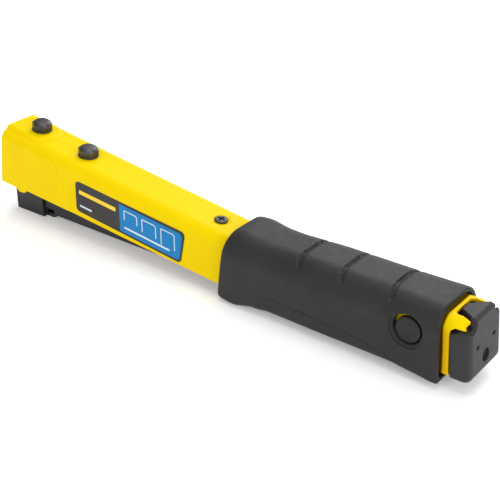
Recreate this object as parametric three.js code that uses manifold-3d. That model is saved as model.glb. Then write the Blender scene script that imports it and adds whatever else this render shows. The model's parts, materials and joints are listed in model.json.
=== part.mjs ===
// Hammer tacker: a swing-type staple gun with a sprung, hinged magazine under a pressed-steel body.
// Millimetres. +X runs from the head to the end cap, +Z is up. Every piece is drawn in a working frame
// where the magazine, its slides, the rod and the grip run parallel to X. The last step tips the whole
// tool by under a degree, so that it stands on the tip of its nose and the front flare of its grip,
// with the origin at the bottom centre of its box.

import * as THREE from "three";
import { mergeVertices } from "three/addons/utils/BufferGeometryUtils.js";
import Module from "manifold-3d";

const wasm = await Module();
wasm.setup();

// ---------- driving dimensions ----------
const GAP = 0.3; // air left between pieces that touch
const SHEET = 1.6; // steel thickness of the body

// body (inverted channel): half width, top, bottom edge and lean of its section at each station
const HEAD_TILT = THREE.MathUtils.degToRad(7.35); // slope of the body's top ahead of the grip
const HEAD_ZERO_Z = 35.1; // where that slope meets x = 0
const headTop = (x) => HEAD_ZERO_Z - x * Math.tan(HEAD_TILT);
const BODY_FRONT_X = -160.6;
const BODY_REAR_X = 150.9;
const BODY_STATIONS = [
  { x: BODY_FRONT_X, half: 15.8, top: headTop(-158.1), bottom: 21.2, lean: 0.149 },
  { x: -110, half: 15.8, top: headTop(-109), bottom: 16.2, lean: 0.06 },
  { x: -60, half: 15.8, top: headTop(-60), bottom: 11.5, lean: 0 },
  { x: 8, half: 15.6, top: 34.3, bottom: 5.5, lean: 0 },
  { x: 22, half: 15.4, top: 33.4, bottom: 4.8, lean: 0 },
  { x: 60, half: 15.4, top: 34.0, bottom: 4.6, lean: 0 },
  { x: BODY_REAR_X, half: 15.4, top: 35.4, bottom: 4.2, lean: 0 },
];
const BODY_CORNER = 6.4; // bend radius of the top edges
const LATCH_EAR_LENGTH = 7.6; // ears that stand out behind the body, beside the end cap
const LATCH_EAR_BEND = 1.7; // how far the ears bend inward
const LATCH_EAR_LOW_Z = 30.0;

// head: the strike parts lie in a frame tilted like the top of the head
const HEAD_PAD = { u0: -158.6, u1: -137, u2: -128.4, half: 10.9, rise: 1.2 }; // pressed up, round behind
const BOLTS = [{ u: -140.2, seat: HEAD_PAD.rise }, { u: -101.2, seat: 0 }]; // along the head's top
const HEX_ACROSS_FLATS = 11.1;
const HEX_HEIGHT = 5.2;
const WASHER_R = 6.3;
const WASHER_THICKNESS = 0.6;
const BOLT_SHANK_R = 3.1;
const BOLT_DEPTH = 13; // shank below the head's top surface
const HEX_BASE = 0.9; // underside of the hex above the top surface
const STRIKER = { u0: -157, u1: -88, half: 13.4, height: 13 };
const BUMPER = { u0: -127, u1: -113, half: 5.6, height: 6.6 };

// driver blade and nose
const BLADE = { x0: -155.9, x1: -154.8, half: 5.2, bottom: 12.5, top: 47.5 };
const NOSE = { x0: -156.3, x1: -134.7, half: 8.9, top: 17, floor: 2.4, side: 1.1 };
const SLOT = { x1: -153.9, half: 5.6 }; // staple exit
const NOSE_PLATE = 1.4;
const NOSE_HEEL = { length: 7.5, half: 6 };
const NOSE_EAR = { x0: -149, x1: -141, z0: 20.6, z1: 22.0, reach: 13.7 };
const LUG = { x0: -151, x1: -140, z0: 18.1, z1: 19.7, inner: 12.1 }; // body lugs that catch the nose ears

// magazine
const MAG = { x0: -153.6, x1: 150.2, half: 7.5, wall: 1.2, bottom: 3.1, top: 16.2 };
const RAIL = { x1: 138.5, half: 4.0, wall: 0.8, top: 12.6 };
const RAIL_RIVET = {
  x: [-100, 10, 112], r: 1.2, headR: 2.4, headHeight: 0.5, upsetR: 1.9, upsetHeight: 0.5,
};
const RAIL_FLOOR = MAG.bottom + MAG.wall + GAP + RAIL.wall; // top of the rail's floor
const COVER = { bottom: 14.6, thickness: 1.2, x1: 117 };
const PIVOT = { x: 129.2, z: 22.6, pinR: 3.0, holeR: 3.4, headR: 6.4, headOut: 18.3 };

// pusher and follower
const ROD = { x0: -137.5, x1: 159, z: 8.9, r: 1.25 };
const FOLLOWER = { x0: -134.5, x1: -114, half: 5.6, top: 14.0 };
const SPRING = { coilR: 2.3, wireR: 0.32, turns: 24, stepsPerTurn: 8, wireSides: 6 };
const CAP = { x0: 151.9, rearBottomX: 163.6, rearTopX: 160.6, half: 15.2, bottom: 4.5, top: 36.2 };
const CAP_UPPER_HALF = 8.8;

// grip
const GRIP = { x0: 12.0, x1: 149.4, height: 40, upperCorner: 13, lowerCorner: 4 };
const GRIP_FLARE = { x: 22, z: -2.2 }; // lowest point of the flare at the front of the grip
const GRIP_HOLE_R = 8.4;
const GRIP_CAVITY_FLOOR = 1.7;

// leaf return spring and its top screw
const TOP_SCREW = { x: 0.3, headR: 3.9, shankR: 2.0 };
const LEAF = { half: 5.5, thickness: 1.0, tipX: -72 };

// ---------- finishes ----------
const finish = (color, roughness, metalness) => ({ color, roughness, metalness });
const YELLOW_PAINT = finish(0xf5d000, 0.35, 0.1);
const BLACK_OXIDE = finish(0x2e2d2f, 0.45, 0.8);
const TOOL_STEEL = finish(0x8d8f92, 0.35, 0.9);
const SPRING_STEEL = finish(0xa4a6a8, 0.3, 0.9);
const ZINC_STEEL = finish(0xb4b6b8, 0.3, 0.9);
const RUBBER = finish(0x3b3b3c, 0.85, 0.0);
const BLACK_PLASTIC = finish(0x48484b, 0.55, 0.0);
const LABEL_FILM = finish(0x2c78b8, 0.4, 0.0);

// ---------- geometry helpers ----------
function asSolid(geometry) {
  const bare = geometry.clone();
  for (const name of Object.keys(bare.attributes)) {
    if (name !== "position") bare.deleteAttribute(name);
  }
  const merged = mergeVertices(bare, 1e-4);
  return new wasm.Manifold(
    new wasm.Mesh({
      numProp: 3,
      vertProperties: new Float32Array(merged.attributes.position.array),
      triVerts: new Uint32Array(merged.index.array),
    }),
  );
}

function asGeometry(solid) {
  const mesh = solid.getMesh();
  const geometry = new THREE.BufferGeometry();
  geometry.setAttribute("position", new THREE.BufferAttribute(mesh.vertProperties, 3));
  geometry.setIndex(new THREE.BufferAttribute(mesh.triVerts, 1));
  const faceted = geometry.toNonIndexed();
  faceted.computeVertexNormals();
  return faceted;
}

const cut = (base, ...tools) => tools.reduce((solid, tool) => solid.subtract(tool), base);
const join = (base, ...others) => others.reduce((solid, other) => solid.add(other), base);

// a box given by its lowest and highest corners
function box(low, high) {
  const size = high.map((value, i) => value - low[i]);
  const geometry = new THREE.BoxGeometry(...size);
  geometry.translate(...low.map((value, i) => value + size[i] / 2));
  return asSolid(geometry);
}

// a box symmetric about the mid plane
const midBox = (x0, x1, half, z0, z1) => box([x0, -half, z0], [x1, half, z1]);

// a cylinder along "x", "y" or "z" through centre [x, y, z] of its first end
function rod(axis, start, length, radius, sides = 24) {
  const geometry = new THREE.CylinderGeometry(radius, radius, length, sides);
  geometry.translate(0, length / 2, 0);
  if (axis === "x") geometry.rotateZ(-Math.PI / 2);
  if (axis === "z") geometry.rotateX(Math.PI / 2);
  geometry.translate(...start);
  return asSolid(geometry);
}

const tube = (axis, start, length, outer, inner, sides = 24) => {
  const bore = start.map((value, i) => ("xyz"[i] === axis ? value - 1 : value));
  return cut(rod(axis, start, length, outer, sides), rod(axis, bore, length + 2, inner, sides));
};

const shapeOf = (points) => new THREE.Shape(points.map(([a, b]) => new THREE.Vector2(a, b)));

// a polygon in the x-z plane, pushed out from y = -half to y = +half
function sidePrism(points, half) {
  const options = { depth: 2 * half, bevelEnabled: false, steps: 1 };
  const geometry = new THREE.ExtrudeGeometry(shapeOf(points), options);
  geometry.rotateX(Math.PI / 2);
  geometry.translate(0, half, 0);
  return asSolid(geometry);
}

// a polygon in the x-y plane, pushed up from z0 to z1
function planPrism(points, z0, z1) {
  const options = { depth: z1 - z0, bevelEnabled: false, steps: 1 };
  const geometry = new THREE.ExtrudeGeometry(shapeOf(points), options);
  geometry.translate(0, 0, z0);
  return asSolid(geometry);
}

// a skin through rings of points, closed at both ends
function loft(rings) {
  const count = rings[0].length;
  const positions = rings.flat().flatMap((point) => point);
  const index = [];
  for (let r = 0; r + 1 < rings.length; r += 1) {
    for (let i = 0; i < count; i += 1) {
      const j = (i + 1) % count;
      const [a, b] = [r * count + i, r * count + j];
      index.push(a, b, b + count, a, b + count, a + count);
    }
  }
  const flat = rings[0].map(([, y, z]) => new THREE.Vector2(y, z));
  const lastStart = (rings.length - 1) * count;
  for (const [a, b, c] of THREE.ShapeUtils.triangulateShape(flat, [])) {
    index.push(c, b, a);
    index.push(lastStart + a, lastStart + b, lastStart + c);
  }
  const geometry = new THREE.BufferGeometry();
  geometry.setAttribute("position", new THREE.Float32BufferAttribute(positions, 3));
  geometry.setIndex(index);
  return asSolid(geometry);
}

// value on a list of stations, straight between them
function along(stations, x, key) {
  const next = stations.findIndex((station) => station.x >= x);
  if (next <= 0) return stations.at(next)[key];
  const [a, b] = [stations[next - 1], stations[next]];
  return THREE.MathUtils.mapLinear(x, a.x, b.x, a[key], b[key]);
}

// points of a quarter corner, from the first direction to the second (angles in quarter turns)
function corner(cy, cz, radius, fromQuarter, steps) {
  const points = [];
  for (let i = 0; i <= steps; i += 1) {
    const angle = ((fromQuarter + i / steps) * Math.PI) / 2;
    points.push([cy + radius * Math.cos(angle), cz + radius * Math.sin(angle)]);
  }
  return points;
}

// ---------- body ----------
// section of the channel, counter-clockwise seen from the rear; inset > 0 gives the inner skin
function bodyRing(station, inset, bottom, bend = 0) {
  const half = station.half - inset - bend;
  const top = station.top - inset - bend * 0.6;
  const radius = BODY_CORNER - inset;
  const section = [
    [half, bottom],
    ...corner(half - radius, top - radius, radius, 0, 5),
    ...corner(radius - half, top - radius, radius, 1, 5),
    [-half, bottom],
  ];
  const pivotZ = (station.top + station.bottom) / 2;
  return section.map(([y, z]) => [station.x + station.lean * (z - pivotZ), y, z]);
}

const bodySkin = (inset, floorDrop) =>
  BODY_STATIONS.map((station) => bodyRing(station, inset, station.bottom - floorDrop));

// the ear cut-out: everything behind the rear edge but the two corner ears goes
function earCutters() {
  const rear = BODY_REAR_X;
  const tip = rear + LATCH_EAR_LENGTH;
  const low = LATCH_EAR_LOW_Z;
  const underEars = sidePrism([[rear, -5], [tip + 5, -5], [tip + 5, low], [rear, low]], 30);
  const point = sidePrism([[tip - 2.5, low], [tip + 5, low - 1], [tip + 5, 50], [tip, 33.5]], 30);
  const between = planPrism(
    [[rear - 3, -5.4], [rear + 1.4, -10.2], [tip + 5, -10.2], [tip + 5, 10.2], [rear + 1.4, 10.2],
      [rear - 3, 5.4]],
    25,
    50,
  );
  return [underEars, point, between];
}

function makeBody() {
  const last = BODY_STATIONS.at(-1);
  const tail = { ...last, x: BODY_REAR_X + LATCH_EAR_LENGTH };
  const outer = loft([...bodySkin(0, 0), bodyRing(tail, 0, last.bottom, LATCH_EAR_BEND)]);
  const innerRings = bodySkin(SHEET, 30);
  innerRings[0] = innerRings[0].map(([x, y, z]) => [x + SHEET, y, z]);
  const farTail = { ...last, x: tail.x + 1 };
  const inner = loft([...innerRings, bodyRing(farTail, SHEET, last.bottom - 30, LATCH_EAR_BEND * 1.13)]);
  const { x0, x1, z0, z1, inner: lugEdge } = LUG;
  const wall = BODY_STATIONS[0].half;
  const bothSides = (near, far, low, high) => [
    box([x0, near, low], [x1, far, high]),
    box([x0, -far, low], [x1, -near, high]),
  ];
  const lugs = bothSides(lugEdge, wall - 0.4, z0, z1);
  const skirts = bothSides(wall - SHEET, wall, z0, 22);
  const pivotHole = rod("y", [PIVOT.x, -25, PIVOT.z], 50, PIVOT.holeR);
  const screwHole = rod("z", [TOP_SCREW.x, 0, 25], 30, TOP_SCREW.shankR + GAP);
  const boltHoles = BOLTS.map(({ u }) => inHead(rod("z", [u, 0, -6], 12, BOLT_SHANK_R + GAP)));
  const channel = join(cut(outer, inner, ...earCutters()), makeHeadPad(), ...lugs, ...skirts);
  return cut(channel, pivotHole, screwHole, ...boltHoles);
}

// ---------- head ----------
const headMatrix = new THREE.Matrix4().makeRotationY(HEAD_TILT).setPosition(0, 0, HEAD_ZERO_Z);
const inHead = (solid) => solid.transform(headMatrix.toArray());

// the raised pad under the front bolt: straight sides, and an elliptical end behind
function makeHeadPad() {
  const { u0, u1, u2, half, rise } = HEAD_PAD;
  const steps = 12;
  const end = Array.from({ length: steps + 1 }, (_, i) => {
    const turn = Math.PI * (i / steps - 0.5);
    return [u1 + (u2 - u1) * Math.cos(turn), half * Math.sin(turn)];
  });
  return inHead(planPrism([[u0, -half], ...end, [u0, half]], -SHEET / 2, rise));
}

function makeStriker() {
  const low = -SHEET - 2 * GAP - STRIKER.height;
  const bar = inHead(midBox(STRIKER.u0, STRIKER.u1, STRIKER.half, low, -SHEET - 2 * GAP));
  const front = midBox(-200, BLADE.x1 + GAP, 20, 0, 80); // upright seat for the blade
  const shoulders = [-1, 1].map((side) => {
    const shape = [[-200, side * 13.5], [-200, side * 9.5], [-40, side * 9.5], [-40, side * 13.5]];
    return inHead(planPrism(side > 0 ? shape.reverse() : shape, -6.5, 0));
  });
  const taps = BOLTS.map(({ u }) => inHead(rod("z", [u, 0, -30], 40, BOLT_SHANK_R + GAP)));
  const bladeTaps = [-3, 3].map((y) => rod("x", [-160, y, 44], 14, 1.2 + GAP, 12));
  return cut(bar, front, ...shoulders, ...taps, ...bladeTaps);
}

function makeBlade() {
  const plate = box([BLADE.x0, -BLADE.half, BLADE.bottom], [BLADE.x1, BLADE.half, BLADE.top]);
  return cut(plate, ...[-3, 3].map((y) => rod("x", [-160, y, 44], 10, 1.2 + GAP, 12)));
}

function makeBolt({ u, seat }) {
  const hexRadius = HEX_ACROSS_FLATS / 2 / Math.cos(Math.PI / 6);
  const base = seat + GAP + HEX_BASE;
  const head = rod("z", [u, 0, base], HEX_HEIGHT, hexRadius, 6);
  const domeR = 12;
  const flatten = 0.62;
  const dome = new THREE.SphereGeometry(domeR, 24, 12);
  dome.scale(1, 1, flatten);
  dome.translate(u, 0, base + HEX_HEIGHT - domeR * flatten);
  const shank = rod("z", [u, 0, -BOLT_DEPTH], BOLT_DEPTH + base + GAP, BOLT_SHANK_R);
  return inHead(join(head.intersect(asSolid(dome)), shank));
}

const makeWasher = ({ u, seat }) =>
  inHead(tube("z", [u, 0, seat + GAP], WASHER_THICKNESS, WASHER_R, BOLT_SHANK_R + GAP));

const makeBumper = () => {
  const top = -SHEET - 3 * GAP - STRIKER.height;
  return inHead(midBox(BUMPER.u0, BUMPER.u1, BUMPER.half, top - BUMPER.height, top));
};

// ---------- magazine ----------
function makeChannel() {
  const { x0, x1, half, wall, bottom, top } = MAG;
  const trough = cut(
    midBox(x0, x1, half, bottom, top),
    midBox(x0 - 1, x1 + 1, half - wall, bottom + wall, top + 1),
  );
  const ear = sidePrism(
    [[PIVOT.x - 11, top - 1], [PIVOT.x + 10.5, top - 1], [PIVOT.x + 8, 28], [PIVOT.x + 4, 30.5],
      [PIVOT.x - 4, 30.5], [PIVOT.x - 8, 28]],
    half,
  );
  const ears = cut(ear, midBox(0, 200, half - wall, 0, 50));
  const window = midBox(-133.5, -126.5, 20, 0, bottom + 3); // clearing window behind the nose
  const rivets = RAIL_RIVET.x.map((x) => rod("z", [x, 0, 0], 10, RAIL_RIVET.r + GAP, 16));
  const pin = rod("y", [PIVOT.x, -20, PIVOT.z], 40, PIVOT.holeR);
  return cut(join(trough, ears), window, pin, ...rivets);
}

function makeRail() {
  const floor = MAG.bottom + MAG.wall + GAP;
  const trough = cut(
    midBox(MAG.x0, RAIL.x1, RAIL.half, floor, RAIL.top),
    midBox(MAG.x0 - 1, RAIL.x1 + 1, RAIL.half - RAIL.wall, floor + RAIL.wall, RAIL.top + 1),
  );
  return cut(trough, ...RAIL_RIVET.x.map((x) => rod("z", [x, 0, 0], 10, RAIL_RIVET.r + GAP, 16)));
}

function makeRailRivet(x) {
  const { r, headR, headHeight, upsetR, upsetHeight } = RAIL_RIVET;
  const [low, high] = [MAG.bottom - GAP - headHeight, RAIL_FLOOR + GAP];
  const shank = rod("z", [x, 0, low], high + upsetHeight - low, r, 16);
  const head = rod("z", [x, 0, low], headHeight, headR, 16);
  const upset = rod("z", [x, 0, high], upsetHeight, upsetR, 16);
  return join(shank, head, upset);
}

const makeCover = () => {
  const half = MAG.half - MAG.wall - GAP;
  const front = SLOT.x1 + GAP;
  return midBox(front, COVER.x1, half, COVER.bottom, COVER.bottom + COVER.thickness);
};

function makeNose() {
  const { x0, x1, half, top, floor, side } = NOSE;
  const block = midBox(x0, x1, half, 0, top);
  const arms = cut(
    midBox(NOSE_EAR.x0, NOSE_EAR.x1, half, top - 1, NOSE_EAR.z1),
    midBox(-200, 0, half - side, 0, 50),
  );
  const hooks = cut(
    midBox(NOSE_EAR.x0, NOSE_EAR.x1, NOSE_EAR.reach, NOSE_EAR.z0, NOSE_EAR.z1),
    midBox(-200, 0, half - side, 0, 50),
  );
  const room = midBox(SLOT.x1, x1 + 1, half - side, floor, top + 1);
  const slot = midBox(x0 - 1, SLOT.x1 + 0.1, SLOT.half, -1, top + 1);
  const heel = cut(
    midBox(x1 - 1, x1 + NOSE_HEEL.length, NOSE_HEEL.half, 0, floor),
    sidePrism([[x1 + 2, -1], [x1 + 12, -1], [x1 + 12, 2]], 20),
  );
  const rivets = noseRivets.map(([y, z]) => rod("x", [-160, y, z], 12, 0.8 + GAP, 12));
  return cut(join(block, arms, hooks, heel), room, slot, ...rivets);
}

const noseRivets = [[-7.2, 4], [7.2, 4], [-7.2, 13], [7.2, 13]];

function makeNosePlate() {
  const x1 = NOSE.x0 - GAP;
  const plate = midBox(x1 - NOSE_PLATE, x1, NOSE.half, 0, NOSE.top);
  return cut(plate, ...noseRivets.map(([y, z]) => rod("x", [-165, y, z], 12, 0.8 + GAP, 12)));
}

function makeNoseRivet([y, z]) {
  const head = rod("x", [NOSE.x0 - NOSE_PLATE - 2 * GAP - 0.6, y, z], 0.6, 1.35, 12);
  const shank = rod("x", [NOSE.x0 - NOSE_PLATE - 2 * GAP - 0.1, y, z], 4, 0.8, 12);
  return join(head, shank);
}

// ---------- pivot ----------
function makePivotPin() {
  const head = rod("y", [PIVOT.x, -PIVOT.headOut, PIVOT.z], PIVOT.headOut - 15.8, PIVOT.headR, 32);
  const shaft = rod("y", [PIVOT.x, -15.9, PIVOT.z], 31.5, PIVOT.pinR);
  return join(head, shaft);
}

function makePivotCap() {
  const disc = rod("y", [PIVOT.x, 15.8, PIVOT.z], PIVOT.headOut - 15.8, PIVOT.headR, 32);
  return cut(disc, rod("y", [PIVOT.x, 15, PIVOT.z], 1.2, PIVOT.pinR + GAP));
}

const pivotTube = (y0, length, outer) =>
  tube("y", [PIVOT.x, y0, PIVOT.z], length, outer, PIVOT.pinR + 0.35);

// ---------- leaf return spring ----------
function makeLeaf() {
  const under = (x) => along(BODY_STATIONS, x, "top") - SHEET - 2 * GAP;
  const tipZ = COVER.bottom + COVER.thickness + 2 * GAP;
  const upper = [[8, under(8)], [-8, under(-8)]];
  const knee = [[-40, 25.5], [LEAF.tipX + 6, tipZ + LEAF.thickness]];
  const line = [...upper, ...knee, [LEAF.tipX, tipZ + LEAF.thickness + 0.7]];
  const lower = line.map(([x, z]) => [x, z - LEAF.thickness]).reverse();
  const strip = sidePrism([...line, ...lower], LEAF.half);
  return cut(strip, rod("z", [TOP_SCREW.x, 0, 20], 20, TOP_SCREW.shankR + GAP));
}

function makeTopScrew() {
  const top = along(BODY_STATIONS, TOP_SCREW.x, "top");
  const head = rod("z", [TOP_SCREW.x, 0, top + 0.75], 1.1, TOP_SCREW.headR, 32);
  const cross = [0, 1].map((turn) => {
    const [a, b] = turn ? [0.5, 2.2] : [2.2, 0.5];
    return box([TOP_SCREW.x - a, -b, top + 1.1], [TOP_SCREW.x + a, b, top + 3]);
  });
  const shank = rod("z", [TOP_SCREW.x, 0, top - 8.4], 9.5, TOP_SCREW.shankR);
  return join(cut(head, ...cross), shank);
}

function makeTopNut() {
  const under = along(BODY_STATIONS, TOP_SCREW.x, "top") - SHEET - LEAF.thickness - 4 * GAP;
  const hex = rod("z", [TOP_SCREW.x, 0, under - 3.6], 3.2, 4.6, 6);
  return cut(hex, rod("z", [TOP_SCREW.x, 0, under - 6], 8, TOP_SCREW.shankR + GAP));
}

// ---------- pusher ----------
function makeCap() {
  const { x0, rearBottomX, rearTopX, half, bottom, top } = CAP;
  const side = [
    [x0, bottom + 1.2], [x0 + 2, bottom - 0.2], [rearBottomX - 2, bottom], [rearBottomX, bottom + 1.6],
    [rearTopX, 33.2], [rearTopX - 1.2, 35.6], [rearTopX - 2.4, top], [x0, top],
  ];
  const bevelled = loft(
    [x0 - 1, rearBottomX - 3, rearBottomX + 1].map((x, i) => {
      const inset = i === 2 ? 1 : 0;
      const [wide, low] = [half - inset, half - inset - 2];
      const section = [
        [wide, bottom + 2], [wide, 40], [-wide, 40], [-wide, bottom + 2], [-low, bottom - 1],
        [low, bottom - 1],
      ];
      return section.map(([y, z]) => [x, y, z]);
    }),
  );
  const block = sidePrism(side, half + 1).intersect(bevelled);
  const shoulder = [[x0 - 2, 26.3], [x0 + 5.6, 29.4], [rearTopX + 5, 31.4]];
  const aboveShoulder = [...shoulder, [rearTopX + 5, 50], [x0 - 2, 50]];
  const notch = cut(sidePrism(aboveShoulder, 30), midBox(0, 200, CAP_UPPER_HALF, 0, 60));
  const nestle = [-1, 1].map((way) => {
    const wedge = [[x0 - 2, way * 3.2], [x0 + 5, way * 8.9], [x0 + 5, way * 20], [x0 - 2, way * 20]];
    return planPrism(way > 0 ? wedge.slice().reverse() : wedge, 29.4, 50);
  });
  const spigot = midBox(142, x0 + 1, 5.9, MAG.bottom + MAG.wall + GAP, 13.6);
  const hollow = midBox(x0 - 1, rearTopX - 3.4, half - 2, 14.6, 24.8);
  const rearHole = rod("x", [rearTopX - 0.4, 0, 12.6], 10, 3.2);
  const slots = [-8.7, 8.7].map((y) => box([rearTopX - 1.6, y - 1, 19.6], [170, y + 1, 21.9]));
  const rodBore = rod("x", [130, 0, ROD.z], ROD.x1 + GAP - 130, ROD.r + GAP, 16);
  return cut(join(cut(block, notch, ...nestle), spigot), hollow, rearHole, ...slots, rodBore);
}

const makeRod = () => rod("x", [ROD.x0, 0, ROD.z], ROD.x1 - ROD.x0, ROD.r, 12);

const makeRodClip = () => tube("x", [ROD.x0 + 1, 0, ROD.z], 0.9, 2.6, ROD.r + GAP, 16);

const makeSpringSeat = () => tube("x", [141, 0, ROD.z], 0.7, 2.8, ROD.r + GAP, 16);

function makeFollower() {
  const { x0, x1, half, top } = FOLLOWER;
  const block = midBox(x0, x1, half, RAIL_FLOOR - 0.4, top);
  const nose = sidePrism([[x0 - 1, 0], [x0 + 3, 0], [x0 - 1, 9]], 20); // raked front foot
  const legs = [-1, 1].map((side) => {
    const [y0, y1] = side < 0 ? [-4.3, -2.9] : [2.9, 4.3];
    return box([x0 - 1, y0, 0], [x1 + 1, y1, RAIL.top + GAP]);
  });
  const overRivets = RAIL_FLOOR + GAP + RAIL_RIVET.upsetHeight + GAP;
  const underside = midBox(x0 - 1, x1 + 1, 2.95, 0, overRivets);
  const bore = rod("x", [x0 - 1, 0, ROD.z], x1 - x0 + 2, ROD.r + GAP, 16);
  return cut(block, nose, ...legs, underside, bore);
}

// a helix of round wire around the rod, from the follower to the spring seat
function makeSpring() {
  const [start, end] = [FOLLOWER.x1 + GAP + SPRING.wireR, 141 - GAP - SPRING.wireR];
  class Helix extends THREE.Curve {
    getPoint(t, target = new THREE.Vector3()) {
      const angle = t * SPRING.turns * 2 * Math.PI;
      const [y, z] = [Math.cos(angle) * SPRING.coilR, Math.sin(angle) * SPRING.coilR];
      return target.set(THREE.MathUtils.lerp(start, end, t), y, ROD.z + z);
    }
  }
  const wire = new THREE.Shape();
  wire.absarc(0, 0, SPRING.wireR, 0, 2 * Math.PI);
  const steps = SPRING.turns * SPRING.stepsPerTurn;
  const curveSegments = SPRING.wireSides / 2;
  const options = { steps, curveSegments, extrudePath: new Helix(), bevelEnabled: false };
  return asSolid(new THREE.ExtrudeGeometry(wire, options));
}

// ---------- grip ----------
const GRIP_STATIONS = [
  { x: GRIP.x0, half: 18.8, top: 37.4, bottom: 2.0, lean: 5.4 },
  { x: GRIP.x0 + 2.5, half: 20.3, top: 39.4, bottom: -0.4, lean: 4.8 },
  { x: GRIP_FLARE.x - 1.5, half: 20.7, top: 39.8, bottom: GRIP_FLARE.z, lean: 3.4 },
  { x: GRIP_FLARE.x + 2, half: 20.7, top: 39.5, bottom: GRIP_FLARE.z, lean: 3.0 },
  { x: 34, half: 20.2, top: 38.0, bottom: 0.5, lean: 1.6 },
  { x: 46, half: 20.1, top: 37.6, bottom: 0.6, lean: 0.5 },
  { x: 75, half: 20.4, top: 38.8, bottom: 0.3, lean: 0 },
  { x: 110, half: 20.5, top: 38.9, bottom: 0.2, lean: 0 },
  { x: 136, half: 20.5, top: 38.9, bottom: -0.2, lean: 0 },
  { x: GRIP.x1 - 4.5, half: 20.4, top: 38.6, bottom: -1.2, lean: 0 },
  { x: GRIP.x1 - 1.4, half: 19.8, top: 37.6, bottom: -1.0, lean: 0 },
  { x: GRIP.x1, half: 18.6, top: 36.2, bottom: 0.4, lean: 0 },
];

function gripRing({ x, half, top, bottom, lean }) {
  const upper = GRIP.upperCorner;
  const lower = GRIP.lowerCorner;
  const section = [
    ...corner(half - lower, bottom + lower, lower, 3, 4),
    ...corner(half - upper, top - upper, upper, 0, 8),
    ...corner(upper - half, top - upper, upper, 1, 8),
    ...corner(lower - half, bottom + lower, lower, 2, 4),
  ];
  return section.map(([y, z]) => [x + lean * (Math.max(z, 0) / GRIP.height) ** 1.4, y, z]);
}

function makeGrip() {
  const outer = loft(GRIP_STATIONS.map(gripRing));
  const rings = BODY_STATIONS.slice(2).map((station) => bodyRing(station, -0.35, GRIP_CAVITY_FLOOR));
  rings.push(rings.at(-1).map(([x, y, z]) => [x + 5, y, z]));
  const holes = rod("y", [PIVOT.x + 0.6, -30, PIVOT.z + 1.2], 60, GRIP_HOLE_R, 32);
  return cut(outer, loft(rings), holes);
}

// ---------- label ----------
function makeLabel(side) {
  const outline = [[-96.5, 19.5], [-95, 36.8], [-12.9, 28.6], [-13.9, 25], [-18.3, 10.2]];
  const plate = sidePrism(outline, 0.15);
  return plate.translate(0, side * 16.05, 0);
}

// ---------- assembly ----------
const tool = new THREE.Group();
tool.rotation.y = -Math.atan2(-GRIP_FLARE.z, GRIP_FLARE.x - NOSE.x0);

function bodyGroup(name) {
  const group = new THREE.Group();
  group.name = name;
  tool.add(group);
  return group;
}

function piece(group, name, solid, look) {
  const mesh = new THREE.Mesh(asGeometry(solid), new THREE.MeshStandardMaterial(look));
  mesh.name = name;
  group.add(mesh);
}

const handle = bodyGroup("handle_group");
piece(handle, "body_shell", makeBody(), YELLOW_PAINT);
piece(handle, "striker_block", makeStriker(), TOOL_STEEL);
piece(handle, "driver_blade", makeBlade(), TOOL_STEEL);
["left", "right"].forEach((side, i) => {
  const y = i ? 3 : -3;
  piece(handle, `blade_screw_${side}`, rod("x", [BLADE.x0 + 0.1, y, 44], 8, 1.2, 12), ZINC_STEEL);
});
["front", "rear"].forEach((place, i) => {
  piece(handle, `hex_bolt_${place}`, makeBolt(BOLTS[i]), BLACK_OXIDE);
  piece(handle, `bolt_washer_${place}`, makeWasher(BOLTS[i]), BLACK_OXIDE);
});
piece(handle, "strike_bumper", makeBumper(), RUBBER);
piece(handle, "return_leaf_spring", makeLeaf(), SPRING_STEEL);
piece(handle, "top_screw", makeTopScrew(), BLACK_OXIDE);
piece(handle, "top_screw_nut", makeTopNut(), ZINC_STEEL);
piece(handle, "grip_sleeve", makeGrip(), RUBBER);
piece(handle, "pivot_pin", makePivotPin(), BLACK_OXIDE);
piece(handle, "pivot_cap", makePivotCap(), BLACK_OXIDE);
piece(handle, "pivot_spacer_left", pivotTube(-13.4, 5.5, 5.2), ZINC_STEEL);
piece(handle, "pivot_spacer_right", pivotTube(7.9, 5.5, 5.2), ZINC_STEEL);
piece(handle, "side_label_left", makeLabel(-1), LABEL_FILM);
piece(handle, "side_label_right", makeLabel(1), LABEL_FILM);

const magazine = bodyGroup("magazine_group");
piece(magazine, "magazine_channel", makeChannel(), BLACK_OXIDE);
piece(magazine, "staple_rail", makeRail(), ZINC_STEEL);
piece(magazine, "magazine_cover", makeCover(), BLACK_OXIDE);
piece(magazine, "nose_block", makeNose(), BLACK_OXIDE);
piece(magazine, "nose_plate", makeNosePlate(), BLACK_OXIDE);
noseRivets.forEach((spot, i) => piece(magazine, `nose_rivet_${i + 1}`, makeNoseRivet(spot), ZINC_STEEL));
RAIL_RIVET.x.forEach((x, i) => piece(magazine, `rail_rivet_${i + 1}`, makeRailRivet(x), ZINC_STEEL));
piece(magazine, "pivot_bush", pivotTube(-6, 12, 4.9), ZINC_STEEL);

const pusher = bodyGroup("pusher_group");
piece(pusher, "end_cap", makeCap(), BLACK_PLASTIC);
piece(pusher, "pusher_rod", makeRod(), SPRING_STEEL);
piece(pusher, "rod_clip", makeRodClip(), SPRING_STEEL);
piece(pusher, "spring_seat", makeSpringSeat(), ZINC_STEEL);
piece(pusher, "pusher_spring", makeSpring(), SPRING_STEEL);

const follower = bodyGroup("follower_group");
piece(follower, "follower", makeFollower(), TOOL_STEEL);

// origin at the bottom centre of the tool's box
const extent = new THREE.Box3().setFromObject(tool, true);
tool.position.set(...extent.getCenter(new THREE.Vector3()).negate().setZ(-extent.min.z));

export default tool;
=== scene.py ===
import json
import math

import bmesh
import bpy
import numpy as np
from mathutils import Matrix, Vector


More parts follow.
